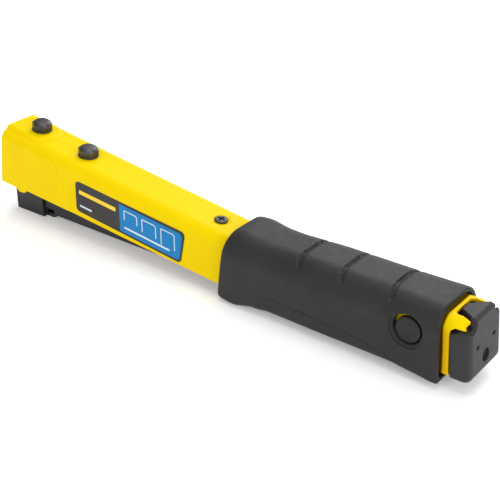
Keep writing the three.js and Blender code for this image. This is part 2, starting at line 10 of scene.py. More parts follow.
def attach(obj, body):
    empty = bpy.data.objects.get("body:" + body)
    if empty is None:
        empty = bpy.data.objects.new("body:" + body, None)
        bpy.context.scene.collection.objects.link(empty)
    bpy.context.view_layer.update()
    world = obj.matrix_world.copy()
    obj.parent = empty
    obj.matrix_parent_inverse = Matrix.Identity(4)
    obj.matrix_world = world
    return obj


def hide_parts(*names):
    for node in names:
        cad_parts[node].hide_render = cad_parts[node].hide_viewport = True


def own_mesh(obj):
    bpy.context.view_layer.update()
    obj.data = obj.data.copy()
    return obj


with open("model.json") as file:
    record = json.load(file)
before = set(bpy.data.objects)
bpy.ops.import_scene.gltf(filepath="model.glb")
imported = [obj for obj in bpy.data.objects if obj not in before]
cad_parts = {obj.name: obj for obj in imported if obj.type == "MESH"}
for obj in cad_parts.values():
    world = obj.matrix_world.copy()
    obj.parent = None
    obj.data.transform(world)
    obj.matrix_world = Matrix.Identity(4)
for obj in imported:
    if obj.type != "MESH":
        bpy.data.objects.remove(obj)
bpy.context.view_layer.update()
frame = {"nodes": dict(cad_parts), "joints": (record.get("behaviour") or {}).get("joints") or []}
MM = 0.001

# The tool is drawn in millimetres in a working frame: +X from the head to the end cap, +Z up, with the
# magazine and its slides parallel to X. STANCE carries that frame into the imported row's frame, where
# the tool stands on its nose and on the flare of its grip.
JOINTS = {joint["name"]: joint for joint in frame["joints"]}
SLIDE = Vector(JOINTS["pusher_pull"]["axis"])
PIVOT = (129.2, 0.0, 22.6)
TURN = Matrix.Rotation(-math.atan2(SLIDE.z, SLIDE.x), 4, "Y")
STANCE = (
    Matrix.Translation(Vector(JOINTS["magazine_swing"]["pos_m"]))
    @ TURN
    @ Matrix.Scale(MM, 4)
    @ Matrix.Translation(-Vector(PIVOT))
)

# ---------- dimensions in the working frame, mm ----------
# The body's stations from head to rear: half width, top, lower edge, and how far the section leans forward.
BODY_X = (-160.6, -110.0, -60.0, 8.0, 22.0, 60.0, 150.9)
BODY_HALF = (15.8, 15.8, 15.8, 15.6, 15.4, 15.4, 15.4)
BODY_TOP = (55.7, 49.15, 42.9, 34.6, 33.5, 34.0, 35.4)
BODY_LOW = (20.9, 16.6, 11.7, 5.5, 4.8, 4.6, 3.8)
BODY_LEAN = (0.149, 0.06, 0.0, 0.0, 0.0, 0.0, 0.0)
SHEET = 1.6  # body steel
CORNER = 6.4  # bend radius of the body's top edges
FRONT_RADIUS = 1.2  # bend between the sides and the front of the head
PAD_RISE = 1.45  # raised pad under the front bolt
PAD_END_X = -137.0  # where the pad's round end starts
PAD_HALF, PAD_REACH = 11.9, 10.4  # half width of the pad, and how far its round end reaches
LUG_X = (-149.5, -146.5, -142.5, -139.4)  # the lug pressed below the lower edge of the head
LUG_DROP = 2.2
SIDE_END_X = 151.7  # where the sides of the sheet end behind, at the lower edge
SIDE_END_LEAN = 0.065  # how far that end leans forward, for each mm up
TOP_END = ((7.8, 9.3), (148.9, 151.0))  # where the top ends behind: distance from the middle, X
EAR_TURN = (18.0, 26.0, 36.0, 52.0, 69.0, 80.0, 88.0)  # the ears behind, in degrees up the bend
EAR_X = (157.9, 157.9, 157.3, 157.8, 158.3, 155.6, 153.6)
EAR_TOE = 0.12  # how much the ears draw in, for each mm that they stand out behind

HEAD_TILT = math.radians(7.35)
HEAD_ZERO_Z = 35.1  # where the slope of the head's top crosses x = 0
BOLT_U = (-140.2, -101.2)  # the bolts, measured along that slope
BOLT_X = tuple(u * math.cos(HEAD_TILT) for u in BOLT_U)
BOLT_SEAT = (PAD_RISE + 0.25, -0.4)  # height of each bolt's seat over the slope
HEX_FLATS = 10.8  # across the flats of the bolts' heads
HEX_TOP, HEX_BASE = 6.2, 1.2  # top of the heads, and their foot on the washer
SCREW_DOME = 0.95  # height of the top screw's head
CROSS = (0.5, 2.3, 1.1)  # its recess: half width and reach of an arm, depth
SCREW_X = 0.3

# The grip's stations: half width, top, lowest, and how far its top leans along X.
GRIP_X = (12.0, 20.5, 24.0, 34.0, 46.0, 75.0, 110.0, 136.0, 144.4, 148.2)
GRIP_HALF = (20.1, 20.6, 20.7, 20.2, 20.1, 20.4, 20.5, 20.5, 20.5, 20.2)
GRIP_TOP = (39.3, 39.8, 39.5, 38.1, 37.7, 38.8, 38.9, 38.9, 39.0, 38.8)
GRIP_LOW = (-0.9, -2.1, -2.15, 0.3, 0.6, 0.3, 0.2, -0.2, -1.2, -1.2)
GRIP_LEAN = (5.4, 3.6, 3.0, 1.6, 0.5, 0.0, 0.0, 0.0, -1.6, -2.8)
GRIP_HEIGHT = 40.0  # height at which the lean is whole
GRIP_FIT = 0.35  # room between the body and the grip
GRIP_LIP = (2.4, 0.9)  # rounding of the front and rear rims
GRIP_MOUTH = ((0, 2.3), (0.8, 2.1), (3.4, 1.2), (5.0, 0))  # depth in from the rear rim, extra width there
GROOVE_X = (61.2, 86.9, 116.0)  # finger grooves across the top of the grip
GROOVE_DEPTH, GROOVE_WIDTH = 1.1, 3.6
CREASE_X = (36, 42.6, 51.4, 70.7, 95.3, 107.2, 118.8, 130.2, 134.1)  # crease along the lower flank
CREASE_Z = (6, 9.9, 11.3, 11, 9.4, 8.4, 5.9, 2.3, 0.7)
GRIP_HOLE_R = 8.3

CAP_X = 152.7  # front of the end cap at its foot
CAP_HALF = 16.0
CAP_LOW, CAP_TOP = 2.4, 36.5
CAP_REAR = ((164.4, CAP_LOW), (161.2, 35.2))  # the rear face's line, (x, z)
CAP_HEAD_HALF = 9.9  # the narrower head of the cap, between the ears
CAP_VOXEL = 0.24  # fineness of its soft edges
EAR_NOTCH = (13.5, 33.7, 3.95)  # y, z and radius of the round notch beside each ear
ROD_Z = 8.9  # the pusher's rod
SPRING_ENDS = (-113.4, 140.4)  # the coil's two ends, along X
LEAF_HALF, LEAF_TAPER, LEAF_THICK = 5.5, 0.9, 1.0  # half width, how much narrower at the tip, thickness


# ---------- mesh helpers ----------
def smooth(low, high, value):
    t = np.clip((np.asarray(value, float) - low) / (high - low), 0.0, 1.0)
    return t * t * (3.0 - 2.0 * t)


def grid_faces(rows, columns, closed=False):
    """Quads of a grid of rows x columns points; closed joins the last column to the first."""
    last = columns if closed else columns - 1
    faces = []
    for here in range(0, (rows - 1) * columns, columns):
        for j in range(last):
            after = (j + 1) % columns
            faces.append((here + j, here + after, here + columns + after, here + columns + j))
    return faces


def tube_faces(rows, columns):
    """Faces of a closed tube of rows of points, with a cap on each end."""
    count = rows * columns
    ends = [tuple(range(columns)), tuple(range(count - columns, count))]
    return grid_faces(rows, columns, closed=True) + ends


def ring_faces(rows, columns):
    """Faces of a ring: a tube whose last row joins its first."""
    last = (rows - 1) * columns
    join = [(last + j, last + (j + 1) % columns, (j + 1) % columns, j) for j in range(columns)]
    return grid_faces(rows, columns, closed=True) + join


def grid_normals(points, closed=False):
    """Unit normals of a grid of points (rows, columns, 3)."""
    if closed:
        across = np.roll(points, -1, 1) - np.roll(points, 1, 1)
    else:
        across = np.gradient(points, axis=1)
    normal = np.cross(across, np.gradient(points, axis=0))
    return normal / np.maximum(np.linalg.norm(normal, axis=2, keepdims=True), 1e-9)


def mesh_object(name, points, faces, matrix=None):
    mesh = bpy.data.meshes.new(name)
    mesh.from_pydata([tuple(map(float, p)) for p in points], [], faces)
    if matrix is not None:
        mesh.transform(matrix)
    obj = bpy.data.objects.new(name, mesh)
    bpy.context.scene.collection.objects.link(obj)
    return obj


def face_outward(obj):
    """Turns a closed mesh's faces out."""
    bm = bmesh.new()
    bm.from_mesh(obj.data)
    bmesh.ops.recalc_face_normals(bm, faces=bm.faces)
    bm.to_mesh(obj.data)
    bm.free()


def finish_piece(obj, body, material, stands_for, sharp=40.0):
    """Shades a piece, gives it its material, and says which body it rides on and what it replaces."""
    obj.data.shade_smooth()
    obj.data.set_sharp_from_angle(angle=math.radians(sharp))
    if not obj.data.materials:
        obj.data.materials.append(material)
    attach(obj, body)
    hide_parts(stands_for)


def modifier(obj, kind, **settings):
    made = obj.modifiers.new(kind.lower(), kind)
    for key, value in settings.items():
        setattr(made, key, value)
    return made


def apply_modifiers(obj):
    depsgraph = bpy.context.evaluated_depsgraph_get()
    mesh = bpy.data.meshes.new_from_object(obj.evaluated_get(depsgraph))
    obj.modifiers.clear()
    obj.data = mesh


def carve(obj, cutters, operation="DIFFERENCE"):
    """Cuts the cutters out of the object, or joins them to it, and deletes them."""
    for cutter in cutters:
        modifier(obj, "BOOLEAN", operation=operation, object=cutter, solver="EXACT")
    apply_modifiers(obj)
    for cutter in cutters:
        bpy.data.objects.remove(cutter)


def lathe(name, profile, sides, axis, centre, matrix=None):
    """A profile of (radius, height) turned about an axis; it starts and ends on the axis."""
    angle = np.linspace(0, 2 * math.pi, sides, endpoint=False)
    rings = np.array([[(r * math.cos(a), r * math.sin(a), h) for a in angle] for r, h in profile])
    order = {"x": (2, 0, 1), "y": (0, 2, 1), "z": (0, 1, 2)}[axis]
    points = rings.reshape(-1, 3)[:, order] + np.array(centre)
    obj = mesh_object(name, points, tube_faces(len(profile), sides), matrix)
    face_outward(obj)
    return obj


def polar_points(rings, along=0.0):
    """Points of rings of (radius, height) about Z, each ring evenly spaced, at that place along X."""
    angles = np.linspace(0, 2 * math.pi, len(rings[0]), endpoint=False)
    return [
        (along + r * math.cos(a), r * math.sin(a), z)
        for ring in rings
        for a, (r, z) in zip(angles, ring)
    ]


def prism(name, outline, axis, low, high):
    """A closed prism: the outline in the two other axes, pushed from low to high along axis."""
    order = {"x": (2, 0, 1), "y": (0, 2, 1), "z": (0, 1, 2)}[axis]
    count = len(outline)
    points = [[(a, b, t)[k] for k in order] for t in (low, high) for a, b in outline]
    faces = [tuple(range(count)), tuple(range(count, 2 * count))]
    faces += [(i, (i + 1) % count, (i + 1) % count + count, i + count) for i in range(count)]
    obj = mesh_object(name, points, faces)
    face_outward(obj)
    return obj


def rounded_outline(corners, radius, steps=6):
    """A polygon in a plane with its corners rounded to the radius, or each to its own of a list."""
    out = []
    count = len(corners)
    radii = radius if isinstance(radius, list) else [radius] * count
    for i, (here, radius) in enumerate(zip(corners, radii)):
        here = Vector(here)
        before, after = Vector(corners[i - 1]) - here, Vector(corners[(i + 1) % count]) - here
        before, after = before.normalized(), after.normalized()
        half = before.angle(after) / 2
        middle = here + (before + after).normalized() * (radius / math.sin(half))
        start, end = here + before * (radius / math.tan(half)), here + after * (radius / math.tan(half))
        a, b = start - middle, end - middle
        for k in range(steps + 1):
            out.append(tuple(middle + a.slerp(b, k / steps).normalized() * radius))
    return out


# ---------- materials ----------
def linear(*rgb):
    """A display colour, 0 to 255, as a linear colour."""
    return (*(c / 255 / 12.92 if c <= 10 else ((c / 255 + 0.055) / 1.055) ** 2.4 for c in rgb), 1.0)


def node(tree, kind, **settings):
    """A new node; a setting is an input's value or one of the node's own properties."""
    made = tree.nodes.new(kind)
    for key, value in settings.items():
        if key in made.inputs:
            made.inputs[key].default_value = value
        else:
            setattr(made, key, value)
    return made


def texture(tree, kind, scale, stretch=(1, 1, 1), **settings):
    """A procedural texture in the piece's own coordinates; scale is in cells per metre."""
    where = node(tree, "ShaderNodeTexCoord")
    mapping = node(tree, "ShaderNodeMapping")
    mapping.inputs["Scale"].default_value = stretch
    tree.links.new(where.outputs["Object"], mapping.inputs["Vector"])
    made = node(tree, kind, **settings)
    made.inputs["Scale"].default_value = scale
    tree.links.new(mapping.outputs["Vector"], made.inputs["Vector"])
    return made


def ranged(tree, source, low, high):
    """A noise's usual range, carried to low and high."""
    made = node(tree, "ShaderNodeMapRange")
    for key, value in zip(("From Min", "From Max", "To Min", "To Max"), (0.3, 0.7, low, high)):
        made.inputs[key].default_value = value
    tree.links.new(source, made.inputs["Value"])
    return made.outputs["Result"]


def mixed(tree, factor, first, second):
    made = node(tree, "ShaderNodeMix", data_type="RGBA")
    tree.links.new(factor, made.inputs["Factor"])
    for key, value in (("A", first), ("B", second)):
        socket = next(s for s in made.inputs if s.name == key and s.type == "RGBA")
        if isinstance(value, tuple):
            socket.default_value = value
        else:
            tree.links.new(value, socket)
    return next(s for s in made.outputs if s.type == "RGBA")


def look(name, dark, light, roughness, metallic=0.0, mottle=45.0, stretch=(1, 1, 1), grain=2200.0,
         relief=0.1, depth=0.02, cells=False, specular=0.5, edge_tint_and_shade=None, painted_gap_shade=None):
    """A surface with drifting tone, varied roughness and a fine relief.

    grain is in cells per metre and depth in mm. The two tint colours go where the mesh's attributes of their
    names mark: the first tints the sheet's edges and also paints shade, the second paints shade.
    """
    material = bpy.data.materials.new(name)
    material.use_nodes = True
    tree = material.node_tree
    shader = tree.nodes["Principled BSDF"]
    shader.inputs["Metallic"].default_value = metallic
    shader.inputs["Specular IOR Level"].default_value = specular
    drift = texture(tree, "ShaderNodeTexNoise", mottle, stretch, Detail=4.0)
    colour = mixed(tree, ranged(tree, drift.outputs["Fac"], 0.0, 1.0), linear(*dark), linear(*light))
    # an edge tint that also paints shade, and a painted shade
    for attribute, tint in (("edge_tint_and_shade", edge_tint_and_shade), ("painted_gap_shade", painted_gap_shade)):
        if tint:
            share = node(tree, "ShaderNodeAttribute", attribute_name=attribute)
            colour = mixed(tree, share.outputs["Fac"], colour, linear(*tint))
    tree.links.new(colour, shader.inputs["Base Color"])
    scuff = texture(tree, "ShaderNodeTexNoise", mottle * 9, stretch, Detail=6.0)
    tree.links.new(ranged(tree, scuff.outputs["Fac"], *roughness), shader.inputs["Roughness"])
    if cells:
        fine = texture(tree, "ShaderNodeTexVoronoi", grain, stretch).outputs["Distance"]
    else:
        fine = texture(tree, "ShaderNodeTexNoise", grain, stretch, Detail=3.0).outputs["Fac"]
    bump = node(tree, "ShaderNodeBump")
    bump.inputs["Strength"].default_value = relief
    bump.inputs["Distance"].default_value = depth * MM
    tree.links.new(fine, bump.inputs["Height"])
    tree.links.new(bump.outputs["Normal"], shader.inputs["Normal"])
    return material


# the yellow, with an amber edge tint that also paints shade along the creases and on the strip behind the
# grip, and a dark brown painted shade in the grip's mouth
PAINT = look("yellow powder coat", (240, 208, 0), (245, 213, 2), (0.34, 0.44), grain=700, relief=0.3,
             depth=0.012, specular=0.04, edge_tint_and_shade=(246, 178, 20), painted_gap_shade=(74, 42, 8))
RUBBER = look("grip rubber", (34, 34, 33), (42, 42, 41), (0.5, 0.6), grain=2600, relief=0.35, depth=0.03,
              cells=True, specular=0.3)
CAP_PLASTIC = look("black moulded plastic", (50, 50, 52), (58, 58, 60), (0.45, 0.55), grain=3000, relief=0.3,
                   depth=0.015, cells=True, specular=0.2)
PIVOT_BLACK = look("pivot black", (36, 36, 37), (44, 44, 44), (0.45, 0.6), metallic=0.2, mottle=200,
                   grain=1800, relief=0.25, depth=0.015, specular=0.35)
OXIDE = look("black oxide", (62, 60, 62), (84, 81, 82), (0.3, 0.46), metallic=0.7, mottle=160, grain=1800,
             relief=0.25, depth=0.015)
BLACK_STEEL = look("blackened steel", (34, 34, 36), (46, 45, 46), (0.38, 0.55), metallic=0.4, mottle=110,
                   grain=1500, relief=0.25)
TOOL_STEEL = look("ground tool steel", (120, 122, 125), (150, 151, 153), (0.25, 0.4), metallic=0.95,
                  stretch=(1, 14, 1), mottle=90, grain=1400, relief=0.2, depth=0.01)
ZINC = look("zinc plate", (168, 170, 172), (190, 190, 190), (0.2, 0.36), metallic=1.0, mottle=220, grain=1600,
            relief=0.2, depth=0.01)
SPRING = look("spring steel", (96, 97, 102), (136, 138, 142), (0.25, 0.4), metallic=1.0, stretch=(1, 10, 10),
              mottle=70, grain=1800, relief=0.2, depth=0.01)
BUMPER_RUBBER = look("bumper rubber", (30, 30, 31), (42, 42, 42), (0.7, 0.85), grain=1700, relief=0.4,
                     depth=0.04, cells=True, specular=0.3)
FILM = {"grain": 4000, "depth": 0.004}
LABEL_DARK = look("label charcoal", (49, 46, 47), (56, 53, 54), (0.32, 0.42), specular=0.25, **FILM)
LABEL_BLUE = look("label blue", (18, 122, 184), (28, 132, 196), (0.3, 0.4), specular=0.15, **FILM)
LABEL_PALE = look("label pale print", (206, 216, 222), (226, 232, 236), (0.35, 0.45), **FILM)
LABEL_YELLOW = look("label yellow print", (244, 206, 20), (252, 216, 30), (0.35, 0.45), **FILM)


# ---------- body shell ----------
def body_section(half, low, top, radius):
    """Half of the channel's section, (y, z), from the lower edge up to the middle of the top."""
    side = [(half, low + (top - radius - low) * t) for t in np.linspace(0, 1, 50, endpoint=False)]
    first, last = EAR_TURN[0], EAR_TURN[-1]
    turns = [*np.linspace(0, first - 0.4, 7), *np.linspace(first + 0.4, last - 0.4, 26), last + 0.4, 90]
    y0, z0 = half - radius, top - radius
    bend = [(y0 + radius * math.cos(a), z0 + radius * math.sin(a)) for a in np.radians(turns)]
    flat = [((half - radius) * (1 - t), top) for t in np.linspace(0, 1, 22)[1:]]
    return np.array(side + bend + flat)


def body_row(x, inset=0.0, forward=0.0):
    """A row of points across the channel. inset draws it in, for the bends round the front of the head."""
    half, top, low, lean = (np.interp(x, BODY_X, v) for v in (BODY_HALF, BODY_TOP, BODY_LOW, BODY_LEAN))
    section = body_section(half - inset, low, top - inset, max(CORNER - inset, 0.2 * (half - inset)))
    right = [(x - forward + lean * (z - (top + low) / 2), -y, z) for y, z in section]
    left = [(px, -y, z) for px, y, z in right[-2::-1]]
    return np.array(right + left)


def front_rows():
    """Rows up the front of the head and round the bend to its sides."""
    x = BODY_X[0] + FRONT_RADIUS
    rows = [body_row(x, inset, FRONT_RADIUS) for inset in np.linspace(BODY_HALF[0], FRONT_RADIUS, 9)[:-1]]
    for turn in np.linspace(math.pi / 2, 0, 9):
        rows.append(body_row(x, FRONT_RADIUS * (1 - math.cos(turn)), FRONT_RADIUS * math.sin(turn)))
    return rows


def rear_limit(y, z):
    """Where the sheet ends behind: leaning forward on the sides, level on top, with an ear at each corner."""
    turn = np.degrees(np.arctan2(z - (BODY_TOP[-1] - CORNER), np.abs(y) - (BODY_HALF[-1] - CORNER)))
    side = SIDE_END_X - SIDE_END_LEAN * (z - BODY_LOW[-1])
    root = 2.6 * smooth(-18, EAR_TURN[0], turn) ** 3
    ear = np.interp(turn, EAR_TURN, EAR_X)
    top = np.interp(np.abs(y), *TOP_END)
    return np.where(turn < EAR_TURN[0], side + root, np.where(turn < EAR_TURN[-1], ear, top))


def rear_rows(last):
    """Rows from the last straight one out to the rear edge, with the ears drawn in."""
    limit = rear_limit(last[:, 1], last[:, 2])
    rows = []
    for share in np.linspace(0, 1, 19)[1:]:
        row = last.copy()
        row[:, 0] = last[:, 0] + (limit - last[:, 0]) * share
        toe = np.maximum(row[:, 0] - BODY_X[-1] - 1.5, 0) * EAR_TOE
        row[:, 1] -= np.sign(row[:, 1]) * toe
        row[:, 2] -= toe * 0.6 * (row[:, 2] > 29)
        rows.append(row)
    return rows


def body_relief(points):
    """How far the press lifts the top and stands each side out, in mm, and where the creases are."""
    x, y, z = points[..., 0], np.abs(points[..., 1]), points[..., 2]
    top = np.interp(x, BODY_X, BODY_TOP)
    # raised pad under the front bolt, straight at the front and round behind
    end = np.hypot(np.maximum(x - PAD_END_X, 0) / PAD_REACH, y / PAD_HALF)
    pad = np.where(x < PAD_END_X, y - PAD_HALF, (end - 1) * 11.0)
    on_top = top - z < 4.5
    seam = np.exp(-(((pad - 0.3) / 0.4) ** 2))
    upper = PAD_RISE * (1 - smooth(-2.2, 0.1, pad)) - 0.35 * seam
    # shallow seats round the rear bolt and the top screw
    upper -= 0.35 * (1 - smooth(6.6, 8.2, np.hypot(x - BOLT_X[1], y)))
    upper -= 0.5 * (1 - smooth(4.4, 5.6, np.hypot(x - SCREW_X, y)))
    # raised pad on each side of the head, fading out below
    above = z - (top - 4.2)
    behind = (x + 115.2 - (45.5 - z) * 0.38) * 0.93
    round_off = 3.0
    a, b = np.maximum(above + round_off, 0), np.maximum(behind + round_off, 0)
    edge = np.hypot(a, b) - round_off + np.minimum(np.maximum(above, behind) + round_off, 0)
    soft = 1.0 + 7.0 * smooth(36.0, 25.0, z)
    flank = 0.45 * (1 - smooth(-0.5, 0.5, edge / soft))
    groove = np.exp(-(((edge / soft - 0.5) / 0.42) ** 2)) * smooth(29.0, 34.0, z)
    flank -= 0.3 * groove
    # upright dent over the lug
    flank -= 0.35 * smooth(-142.6, -141.9, x) * smooth(-139.2, -139.9, x) * smooth(29.0, 27.5, z)
    # each crease's share of the amber painted shade
    crease = 0.45 * np.where(on_top, seam, groove)
    return np.where(on_top, upper, 0.0), np.where(y > 12, flank, 0.0), crease


def press_lug(points):
    """Draws the lower edge down, for the lug and for the front of the head."""
    x, z = points[..., 0], points[..., 2]
    lug = smooth(LUG_X[0], LUG_X[1], x) * smooth(LUG_X[3], LUG_X[2], x)
    ahead = 0.9 * smooth(-141, -149, x)
    share = 1 - smooth(0.0, 7.0, z - np.interp(x, BODY_X, BODY_LOW))
    points[..., 2] -= (lug * LUG_DROP + ahead) * share


def paint_marks(points, crease):
    """How much the paint takes, at each point, of the edge tint, which also paints shade along the creases
    and on the side strip behind the grip, and of the painted shade in the grip's mouth.
    """
    x, z = points[..., 0], points[..., 2]
    edge_tint_and_shade = np.zeros(points.shape[:2])
    edge_tint_and_shade[:, (0, -1)] = 1
    edge_tint_and_shade[-1, :] = 1
    # painted shade: the side strip behind the grip takes the amber of a shaded side
    edge_tint_and_shade[(x > 146) & (z < 28)] = 0.7
    # painted shade where the sheet goes into the grip: the yellow is darkened in the gap at the grip's mouth
    mouth = GRIP_X[-1] + GRIP_LEAN[-1] * lean_share(z) + 0.3 + 0.9 * smooth(28, 35, z)
    # painted shade: how far into the mouth's gap the dark brown reaches
    mouth_shade = smooth(mouth + 0.35, mouth - 0.35, x) * smooth(142.0, 143.0, x)
    # the creases take the amber as painted shade
    return {"edge_tint_and_shade": np.maximum(edge_tint_and_shade, crease) * 0.8, "painted_gap_shade": mouth_shade * 0.95}


def make_body():
    rows = front_rows()
    first = len(rows) - 1
    # from, to and the length of a row: fine at the head and at the screw, where there is relief
    spans = [(BODY_X[0] + FRONT_RADIUS, -104, 0.55), (-104, -7, 3.0), (-7, 8, 0.6), (8, 146, 6.0)]
    for start, end, step in spans:
        rows += [body_row(x) for x in np.linspace(start, end, int((end - start) / step) + 1)[1:]]
    rows += rear_rows(rows[-1])
    points = np.array(rows)
    press_lug(points)
    normal = grid_normals(points)
    lift, flank, crease = body_relief(points)
    # on the front of the head the relief fades out
    fade = np.ones(first)
    fade[:-8] = np.linspace(0, 1, first - 8) ** 3
    lift[:first] = lift[first] * fade[:, None]
    flank[:first] *= np.linspace(0, 1, first)[:, None] ** 4
    points -= normal * flank[..., None]
    points[..., 2] += lift
    count = points.shape[1]
    obj = mesh_object("body_sheet", points.reshape(-1, 3), grid_faces(len(points), count), STANCE)
    if obj.data.polygons[(len(points) // 2) * (count - 1) + count // 2].normal.z < 0:
        obj.data.flip_normals()
    for name, values in paint_marks(points, crease).items():
        attribute = obj.data.attributes.new(name, "FLOAT", "POINT")
        attribute.data.foreach_set("value", values.ravel().astype(np.float32))
    modifier(obj, "WELD", merge_threshold=5e-6)
    modifier(obj, "SOLIDIFY", thickness=SHEET * MM, offset=-1, use_quality_normals=True)
    modifier(obj, "BEVEL", width=0.25 * MM, segments=2, limit_method="ANGLE", angle_limit=math.radians(60))
    finish_piece(obj, "handle", PAINT, "body_shell", sharp=50)


# ---------- grip ----------
def rounded_section(half, low, high, r_low, r_high):
    """A closed round-cornered section, (y, z), from the middle of the bottom, round by +y."""
    def arc(cy, cz, r, start, steps):
        turns = np.radians(np.linspace(start, start + 90, steps))
        return [(cy + r * math.cos(a), cz + r * math.sin(a)) for a in turns]

    right = [((half - r_low) * t, low) for t in np.linspace(0, 1, 12, endpoint=False)]
    right += arc(half - r_low, low + r_low, r_low, -90, 8)
    right += [(half, z) for z in np.linspace(low + r_low, high - r_high, 44)[1:-1]]
    right += arc(half - r_high, high - r_high, r_high, 0, 22)
    right += [((half - r_high) * (1 - t), high) for t in np.linspace(0, 1, 12)[1:]]
    left = [(-y, z) for y, z in right[-2:0:-1]]
    return np.array(right + left)


def lean_share(z):
    return (np.maximum(z, 0) / GRIP_HEIGHT) ** 1.4


def grip_row(x, inset, forward=0.0):
    """A row round the outside of the grip."""
    half, low, high, lean = (np.interp(x, GRIP_X, v) for v in (GRIP_HALF, GRIP_LOW, GRIP_TOP, GRIP_LEAN))
    r_low, r_high = np.interp(x, (120, 147), (4.0, 2.4)), np.interp(x, (120, 147), (13.0, 11.5))
    radii = max(r_low - inset, 0.6), r_high - inset
    section = rounded_section(half - inset, low + inset, high - inset, *radii)
    return np.column_stack([x + forward + lean * lean_share(section[:, 1]), section])


def cavity_row(x, grow=0.0):
    """A row of the hole that the body fills; grow widens it at the mouth."""
    half = np.interp(x, BODY_X, BODY_HALF) + GRIP_FIT + grow
    top = np.interp(x, BODY_X, BODY_TOP) + GRIP_FIT + 0.6 * grow
    section = rounded_section(half, 1.75 - 0.3 * grow, top, 0.6 + grow, CORNER + GRIP_FIT + 1.6 * grow)
    lean = np.interp(x, GRIP_X, GRIP_LEAN)
    return np.column_stack([x + lean * lean_share(section[:, 1]), section])


def grip_relief(points):
    """How far the outside of the grip stands out, in mm: finger grooves and the stepped lower flank."""
    x, y, z = points[..., 0], points[..., 1], points[..., 2]
    depth = np.zeros(x.shape)
    for groove in GROOVE_X:
        across = (x - groove - 0.009 * y * y) / GROOVE_WIDTH + 0.5
        well = smooth(0.0, 0.2, across) * smooth(1.0, 0.35, across)
        depth -= GROOVE_DEPTH * well * smooth(17.6, 15.6, np.abs(y)) * (z > 25)
    line = np.interp(x, CREASE_X, CREASE_Z)
    flank = smooth(38, 46, x) * smooth(134, 122, x) * (np.abs(y) > 14)
    depth -= 0.65 * flank * smooth(0.35, -0.35, z - line)
    depth -= 0.55 * flank * np.exp(-(((z - line) / 0.4) ** 2))
    return depth


def blurred(values, sigma):
    """A row of values, softened; sigma counts in samples."""
    reach = int(3 * sigma)
    kernel = np.exp(-0.5 * (np.arange(-reach, reach + 1) / sigma) ** 2)
    padded = np.pad(values, reach, mode="edge")
    return np.convolve(padded, kernel / kernel.sum(), "valid")


def make_grip():
    """A sleeve: rows from the rear mouth through the cavity to the front, and back along the outside."""
    x0, x1 = GRIP_X[0], GRIP_X[-1]
    front, rear = GRIP_LIP
    rows = [cavity_row(x1 - depth, grow) for depth, grow in GRIP_MOUTH]
    rows += [cavity_row(x) for x in np.linspace(x1 - 6.5, x0, 12)]
    lip = []
    for turn in np.linspace(math.pi / 2, 0, 8):
        lip.append(grip_row(x0 + front, front * (1 - math.cos(turn)), -front * math.sin(turn)))
    rows.append((rows[-1] + lip[0]) / 2)
    rows += lip
    start = len(rows) - 1
    rows += [grip_row(x, 0) for x in np.linspace(x0 + front, x1 - rear, 190)[1:]]
    end = len(rows)
    for turn in np.linspace(0, math.pi / 2, 7)[1:]:
        rows.append(grip_row(x1 - rear, rear * (1 - math.cos(turn)), rear * math.sin(turn)))
    rows.append((rows[-1] + rows[0]) / 2)
    points = np.array(rows)
    # soften the bends between the stations
    for column in range(points.shape[1]):
        for axis in (1, 2):
            points[start:end, column, axis] = blurred(points[start:end, column, axis], 2.2)
    normal = grid_normals(points, closed=True)
    outside = np.zeros(len(points))
    outside[start:end] = 1
    points += normal * (grip_relief(points) * outside[:, None])[..., None]
    obj = mesh_object("grip", points.reshape(-1, 3), ring_faces(*points.shape[:2]))
    face_outward(obj)
    # the round hole, with a turned lip on each side
    r = GRIP_HOLE_R
    profile = [(0.01, -30), (r + 2.2, -30), (r + 2.2, -20.9), (r + 1.75, -20.35), (r + 1.7, -19.9),
               (r + 0.5, -19.7), (r, -19.2)]
    profile += [(radius, -height) for radius, height in profile[::-1]]
    carve(obj, [lathe("hole", profile, 72, "y", (PIVOT[0] + 0.6, 0, PIVOT[2] + 1.2))])
    obj.data.transform(STANCE)
    finish_piece(obj, "handle", RUBBER, "grip_sleeve", sharp=45)


# ---------- head fasteners ----------
HEAD = STANCE @ Matrix.Translation((0, 0, HEAD_ZERO_Z)) @ Matrix.Rotation(HEAD_TILT, 4, "Y")


def hex_reach(angle):
    """How far a hexagon reaches in that direction, with its corners cut off."""
    apothem = HEX_FLATS / 2
    turned = (angle + math.pi / 6) % (math.pi / 3) - math.pi / 6
    return min(apothem / math.cos(turned), apothem * 1.14)


def crown(r):
    """Height of a bolt's top at that radius: a shallow dome, chamfered round its edge."""
    return HEX_TOP - 0.012 * r * r - 0.62 * max(r - 4.1, 0) + 0.1 * max(r - 5.6, 0)


